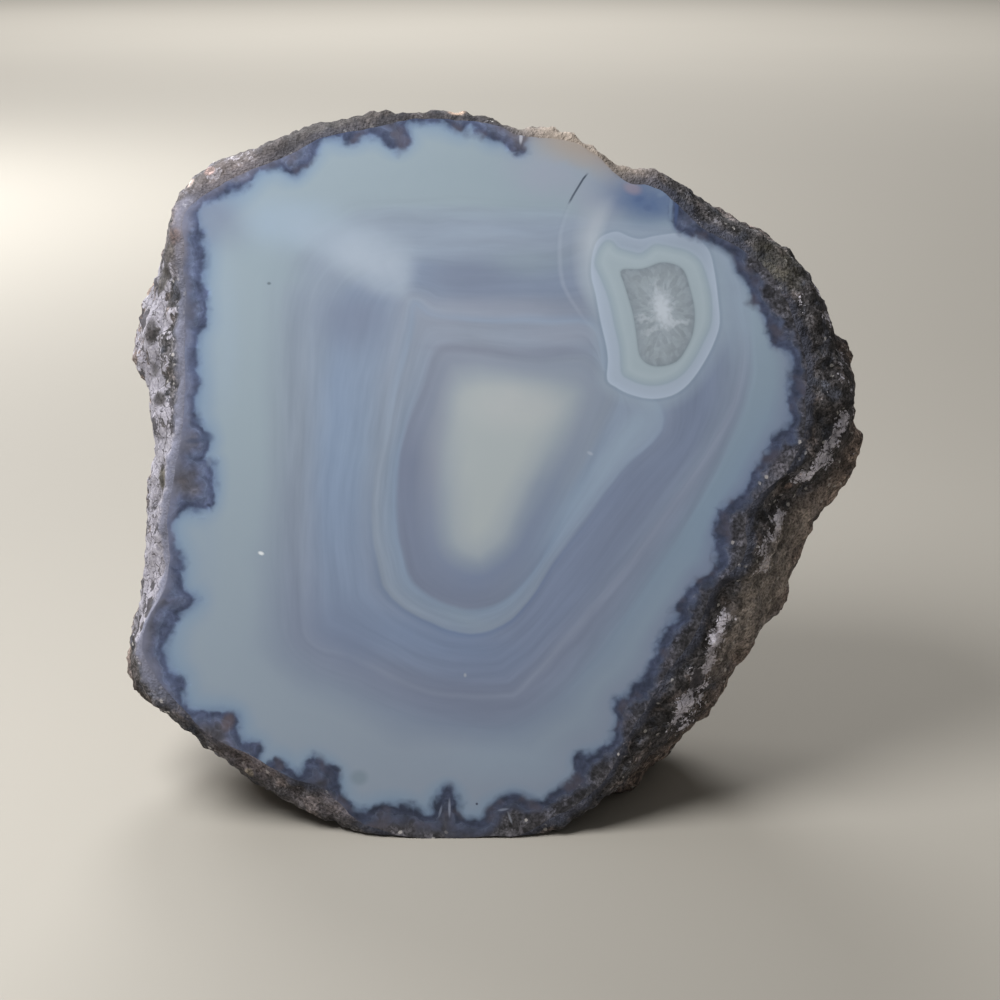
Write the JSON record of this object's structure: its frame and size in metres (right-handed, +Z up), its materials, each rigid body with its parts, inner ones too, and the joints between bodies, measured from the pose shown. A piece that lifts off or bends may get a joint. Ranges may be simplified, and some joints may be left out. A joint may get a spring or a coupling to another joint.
{
  "type": "polished agate geode",
  "caption": "Standing end of an agate nodule with a flat polished banded face, a rough rind and rounded back, and a small flat ground under it to rest on.",
  "frame": {"origin": "middle of the bounding box, on the plane of the ground flat that the stone stands on", "axes": "+Z up; the polished face looks towards -Y and 16 degrees upwards; +X is to the right as the face is seen from the front"},
  "size_m": [0.0926, 0.0556, 0.084],
  "materials": {
    "agate": "polished on the sawn face, rough natural rind elsewhere"
  },
  "bodies": {
    "root": {"agate_nodule": "agate"}
  },
  "joints": []
}
